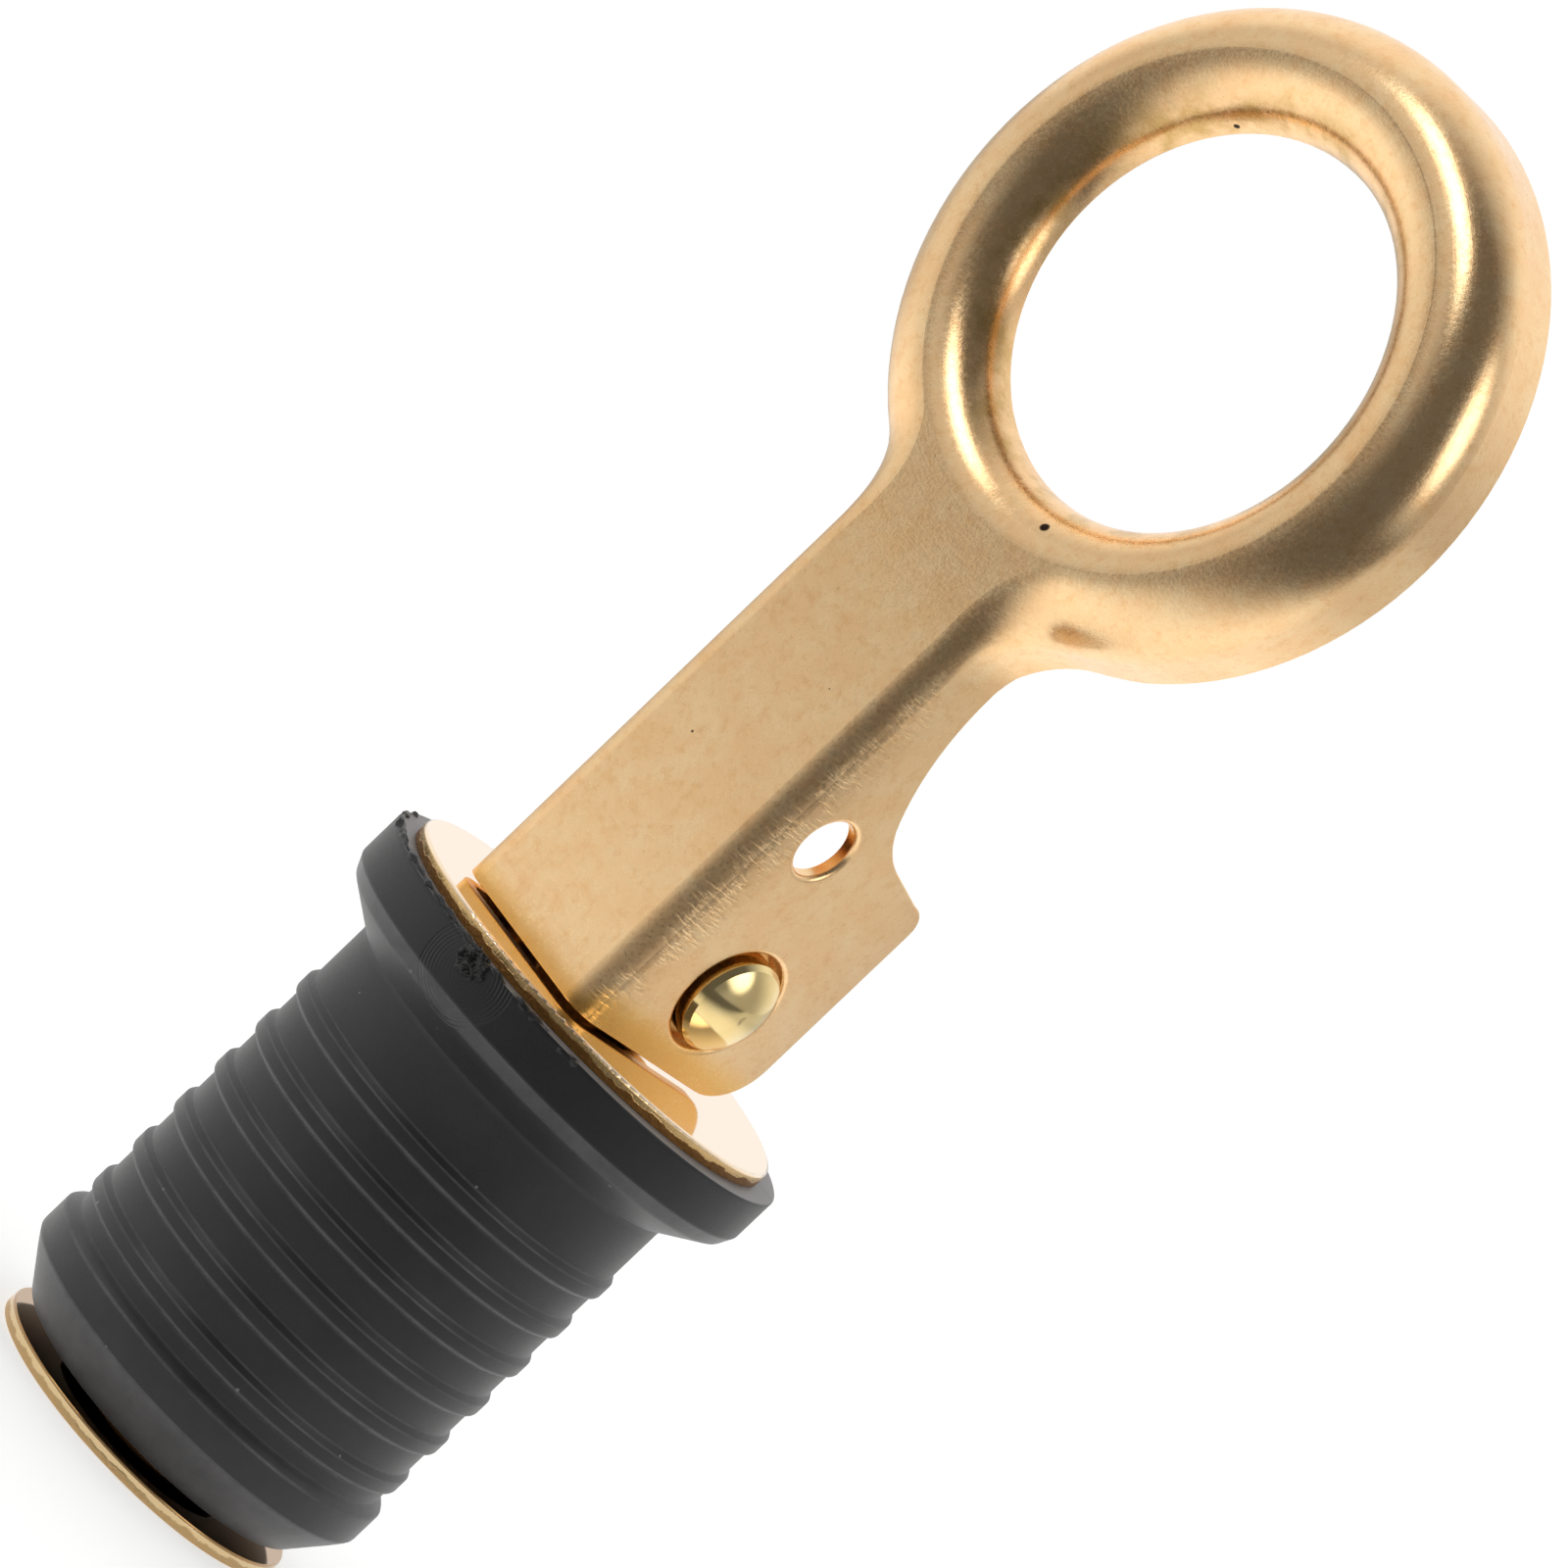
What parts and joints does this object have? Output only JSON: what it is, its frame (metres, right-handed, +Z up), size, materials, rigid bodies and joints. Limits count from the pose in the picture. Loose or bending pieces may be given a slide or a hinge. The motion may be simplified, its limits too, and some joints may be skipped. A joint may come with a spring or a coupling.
{
  "type": "drain plug",
  "caption": "Expanding rubber drain plug with a stamped brass flip-over handle, a pull ring, a cross pin, a draw rod and a brass disc at each end.",
  "frame": {"origin": "centre of the underside of the lower disc, on which the plug stands", "axes": "+Z up along the axis of the plug, X along the cross pin, the web of the handle faces -Y and the handle folds towards +Y"},
  "size_m": [0.0394, 0.0308, 0.1085],
  "materials": {
    "pressed_brass": "satin",
    "polished_brass": "polished",
    "turned_brass": "plain",
    "black_rubber": "matte"
  },
  "bodies": {
    "lower": {"bottom_washer": "turned_brass"},
    "rod": {"draw_rod": "turned_brass", "pivot_pin": "polished_brass"},
    "plug": {"rubber_plug": "black_rubber"},
    "upper": {"top_washer": "polished_brass"},
    "lever": {"handle": "pressed_brass"}
  },
  "joints": [
    {"name": "screw_climb", "type": "slide", "parent": "lower", "child": "rod", "axis": [0, 0, 1], "range_m": [-0.00078, 0.00141]},
    {"name": "plug_turn", "type": "hinge", "parent": "rod", "child": "plug", "pos_m": [0, 0, 0.02], "axis": [0, 0, 1], "range_deg": [-360, 200]},
    {"name": "disc_press", "type": "slide", "parent": "rod", "child": "upper", "axis": [0, 0, -1], "range_m": [0, 0.005], "deforming": ["rubber_plug"]},
    {"name": "handle_flip", "type": "hinge", "parent": "rod", "child": "lever", "pos_m": [0, 0, 0.04298], "axis": [-1, 0, 0], "range_deg": [0, 90]}
  ],
  "couplings": [
    {"joint": "plug_turn", "follows": "screw_climb", "rad_per_m": -4453},
    {"joint": "disc_press", "follows": "handle_flip", "m_per_rad": 0.0031513}
  ]
}
